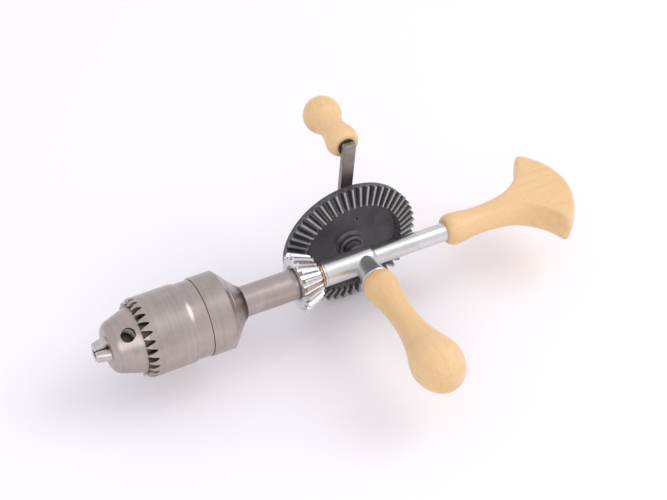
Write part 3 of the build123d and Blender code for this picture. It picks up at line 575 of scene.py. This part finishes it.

# %% [markdown]
# ### Steels
# The chuck is satin steel with a warm cast, the frame is brighter drawn steel, the pinion is nickel
# plated. They share one recipe with their own colours, roughness and amount of lathe rings. Painted shade,
# nearly black, darkens the chuck's core under the sleeve's teeth and down in the key holes, where shadow
# falls.

# %% Painted shade in the recesses
def painted_recess_shade(tree, place):
    """1 on the core's neck under the sleeve's teeth and down in the key holes, 0 elsewhere."""
    parts = add_node(tree, "ShaderNodeSeparateXYZ")
    tree.links.new(place, parts.inputs["Vector"])
    squares = math_node(tree, "ADD", math_node(tree, "MULTIPLY", parts.outputs["Y"], parts.outputs["Y"]),
                        math_node(tree, "MULTIPLY", parts.outputs["Z"], parts.outputs["Z"]))
    radius = math_node(tree, "POWER", squares, 0.5)
    neck = math_node(tree, "MULTIPLY", math_node(tree, "GREATER_THAN", parts.outputs["X"], -40 * MM),
                     math_node(tree, "LESS_THAN", parts.outputs["X"], -20.8 * MM))
    deep = math_node(tree, "DIVIDE", math_node(tree, "SUBTRACT", 19 * MM, radius), 6 * MM, True)
    hole = math_node(tree, "MULTIPLY", deep, math_node(tree, "LESS_THAN", parts.outputs["X"], -4 * MM))
    return math_node(tree, "MAXIMUM", neck, hole)


# %% Steel
def steel(name, light, dark, rough, rings, scratches=0.25, marks_scale=55.0, shade_recesses=False):
    material, tree, shader, place = new_finish(name, Metallic=1.0)
    lathe = use_group(tree, lathe_group, place)
    marks = use_group(tree, marks_group, place, Scale=marks_scale)
    wear = use_group(tree, wear_group, place, Reach=0.0005, Amount=0.8)
    tone = math_node(tree, "ADD", math_node(tree, "MULTIPLY", lathe["Band"], rings),
                     math_node(tree, "MULTIPLY", marks["Clouds"], 1.0 - rings))
    colour = ramp(tree, tone, [(0.32, dark), (0.66, light)])
    bright = tuple(min(1.0, c * 1.25) for c in light)
    colour = mixed(tree, wear["Mask"], colour, bright)
    if shade_recesses:
        # Painted shade: nearly black colour laid into the recesses where shadow falls.
        recess_shade_weight = math_node(tree, "MULTIPLY", painted_recess_shade(tree, place), 0.85)
        colour = mixed(tree, recess_shade_weight, colour, (0.03, 0.026, 0.023))
    tree.links.new(colour, shader.inputs["Base Color"])
    roughness = math_node(tree, "ADD", spread(tree, marks["Clouds"], rough * 0.8, rough * 1.25),
                          math_node(tree, "MULTIPLY", marks["Scratches"], 0.12 * scratches))
    roughness = math_node(tree, "ADD", roughness, spread(tree, lathe["Fine"], -0.05 * rings, 0.05 * rings))
    tree.links.new(roughness, shader.inputs["Roughness"])
    height = math_node(tree, "SUBTRACT", math_node(tree, "MULTIPLY", lathe["Fine"], rings),
                       math_node(tree, "MULTIPLY", marks["Scratches"], scratches))
    bumped(tree, shader, height, 0.000012, 0.5)
    return material


finishes = {
    "chuck": steel("satin_chuck_steel", (0.51, 0.445, 0.41), (0.375, 0.325, 0.30), 0.31, 0.45),
    # The core is the same steel with painted shade in its recesses.
    "core": steel("recess_shaded_core_steel", (0.51, 0.445, 0.41), (0.375, 0.325, 0.30), 0.31, 0.45, shade_recesses=True),
    "jaw": steel("ground_jaw_steel", (0.66, 0.62, 0.60), (0.46, 0.43, 0.41), 0.26, 0.2, 0.5),
    "bright": steel("drawn_bright_steel", (0.76, 0.75, 0.765), (0.60, 0.59, 0.60), 0.29, 0.25, 0.5),
    "nickel": steel("bright_nickel", (0.80, 0.79, 0.80), (0.60, 0.59, 0.60), 0.22, 0.15, 0.3),
    "arm": steel("dark_bar_steel", (0.36, 0.32, 0.295), (0.21, 0.19, 0.185), 0.40, 0.0, 0.8, 80.0),
    "ferrule": steel("cast_ferrule", (0.66, 0.655, 0.63), (0.50, 0.495, 0.475), 0.38, 0.2, 0.4, 90.0),
    "boss": steel("grey_boss_iron", (0.47, 0.47, 0.45), (0.36, 0.36, 0.345), 0.42, 0.1, 0.4, 90.0),
    "screw": steel("blackened_screw_steel", (0.16, 0.16, 0.17), (0.09, 0.09, 0.095), 0.33, 0.0, 0.6, 120.0),
    "bronze": steel("bearing_bronze", (0.72, 0.48, 0.24), (0.55, 0.34, 0.16), 0.30, 0.3, 0.3),
}

# %% [markdown]
# ### Blackened iron
# The big gear is cast iron under thin black paint. The paint has gone from the tops of the teeth and
# the rim, where grey metal shows, and the web keeps the slight orange-peel of a casting. The tops of
# all the teeth lie on one cone around the crank axis, so the distance below that cone marks them.

# %% Gear iron
GEAR_TEETH, PINION_TEETH, MODULE = 51, 20, 2 * MM
GEAR_R, PINION_R = GEAR_TEETH * MODULE / 2, PINION_TEETH * MODULE / 2
TOP_ANGLE = math.atan2(PINION_R, GEAR_R) - math.atan2(MODULE, math.hypot(GEAR_R, PINION_R))


def below_tops(tree, place):
    """Distance of a point below the cone that the gear's tooth tops lie on."""
    parts = add_node(tree, "ShaderNodeSeparateXYZ")
    tree.links.new(place, parts.inputs["Vector"])
    across = math_node(tree, "SUBTRACT", parts.outputs["X"], CRANK_X)
    squares = math_node(tree, "ADD", math_node(tree, "MULTIPLY", across, across),
                        math_node(tree, "MULTIPLY", parts.outputs["Z"], parts.outputs["Z"]))
    radius = math_node(tree, "POWER", squares, 0.5)
    return math_node(tree, "SUBTRACT", math_node(tree, "MULTIPLY", parts.outputs["Y"], -math.cos(TOP_ANGLE)),
                     math_node(tree, "MULTIPLY", radius, math.sin(TOP_ANGLE)))


def gear_iron():
    material, tree, shader, place = new_finish("black_gear_iron", Specular_IOR_Level=0.5)
    marks = use_group(tree, marks_group, place, Scale=70.0)
    wear = use_group(tree, wear_group, place, Reach=0.0009, Amount=1.0)
    colour = ramp(tree, marks["Clouds"], [(0.35, (0.060, 0.057, 0.062)), (0.65, (0.100, 0.094, 0.100))])
    depth = math_node(tree, "DIVIDE", below_tops(tree, place), 0.9 * MM)
    near_top = math_node(tree, "SUBTRACT", 1.0, depth, True)
    tops = math_node(tree, "MULTIPLY", near_top, spread(tree, marks["Clouds"], 0.5, 1.3))
    worn = math_node(tree, "MAXIMUM", math_node(tree, "MULTIPLY", wear["Mask"], 0.85), tops, True)
    tree.links.new(mixed(tree, worn, colour, (0.42, 0.41, 0.41)), shader.inputs["Base Color"])
    tree.links.new(spread(tree, worn, 0.30, 0.95), shader.inputs["Metallic"])
    tree.links.new(spread(tree, marks["Clouds"], 0.34, 0.50), shader.inputs["Roughness"])
    skin = math_node(tree, "ADD", marks["Pits"], math_node(tree, "MULTIPLY", marks["Scratches"], -0.3))
    bumped(tree, shader, skin, 0.06 * MM, 0.35)
    return material


finishes["gear"] = gear_iron()

# %% Put the finishes on
def dress(obj, material):
    obj.data.materials.clear()
    obj.data.materials.append(material)
    for polygon in obj.data.polygons:
        polygon.material_index = 0


for piece, finish in ((bar, "bright"), (ferrule, "ferrule"), (wheel, "gear"), (small_gear, "nickel"),
                      (arm, "arm"), (chuck, "core"), (sleeve, "chuck"), (shaft, "chuck"), (threads, "boss")):
    dress(piece, finishes[finish])
for piece, wood in ((side_grip, wood_side), (knob, wood_knob), (pad, wood_breast)):
    dress(piece, wood)

carried = {"jaw": ["jaw_1", "jaw_2", "jaw_3"],
           "bright": ["thrust_race_frame", "thrust_race_pinion", "thrust_balls", "axle_washer"],
           "boss": ["gear_axle", "crank_boss"], "bronze": ["spindle_bush", "ball_cage"],
           "screw": ["retaining_screw", "axle_screw", "side_stud", "breast_nut", "pinion_pin", "split_nut",
                     "crank_screws", "knob_screw", "knob_washer"]}
for finish, names in carried.items():
    for name in names:
        for slot in nodes[name].material_slots:
            slot.material = finishes[finish]
print("materials", len(bpy.data.materials))

# %% [markdown]
# ## Stage, light and camera
# A pale floor under the gear's lowest tooth, a broad key light high on the right, a soft fill over the
# chuck and an even pale sky. The camera looks down at the drill from the side-handle side.

# %% Floor and sky
FLOOR_GAP = 0.5 * MM
floor_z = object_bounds()[0][2] - FLOOR_GAP
bpy.ops.object.select_all(action="DESELECT")
bpy.ops.mesh.primitive_plane_add(size=14.0, location=(CRANK_X, 0, floor_z))
floor = bpy.context.object
floor.name = "floor"
floor_finish, tree, shader, place = new_finish("pale_floor", Base_Color=(0.94, 0.92, 0.95, 1), Roughness=0.9,
                                               Specular_IOR_Level=0.1)
dress(floor, floor_finish)

world = bpy.data.worlds.new("pale_sky")
bpy.context.scene.world = world
world.use_nodes = True
world.node_tree.nodes["Background"].inputs["Color"].default_value = (0.93, 0.92, 0.97, 1)
world.node_tree.nodes["Background"].inputs["Strength"].default_value = 0.94
bpy.context.scene.view_settings.view_transform = "Standard"

# %% Lights
def soft_light(name, location, target, size, power, colour):
    data = bpy.data.lights.new(name, "AREA")
    data.shape = "DISK"
    data.size = size
    data.energy = power
    data.color = colour
    light = bpy.data.objects.new(name, data)
    bpy.context.collection.objects.link(light)
    light.location = location
    light.rotation_euler = (Vector(target) - Vector(location)).to_track_quat("-Z", "Y").to_euler()


middle = Vector((CRANK_X, 0, 0))
soft_light("key", middle + Vector((-1.1, 0.35, 1.25)), middle, 1.3, 8.5, (1.0, 0.98, 0.955))
over_chuck = middle + Vector((0.08, 0, 0))
soft_light("fill", middle + Vector((0.7, 1.2, 1.0)), over_chuck, 1.0, 3.0, (1.0, 0.98, 0.98))

# %% Camera
CAMERA_TURN = math.radians(153.42)
CAMERA_RISE = math.radians(43.83)
CAMERA_DISTANCE = 1.479
LOOK = Vector((CRANK_X + 0.0225, 0, 0.0198))
back = Vector((math.sin(CAMERA_TURN) * math.cos(CAMERA_RISE), -math.cos(CAMERA_TURN) * math.cos(CAMERA_RISE),
               math.sin(CAMERA_RISE)))
camera_data = bpy.data.cameras.new("camera")
camera_data.sensor_width = 36.0
camera_data.lens = 114.3
camera_data.clip_end = 50.0
camera = bpy.data.objects.new("camera", camera_data)
bpy.context.collection.objects.link(camera)
camera.location = LOOK + back * CAMERA_DISTANCE
camera.rotation_euler = (-back).to_track_quat("-Z", "Y").to_euler()
bpy.context.scene.camera = camera
print("camera at", [round(v, 3) for v in camera.location])
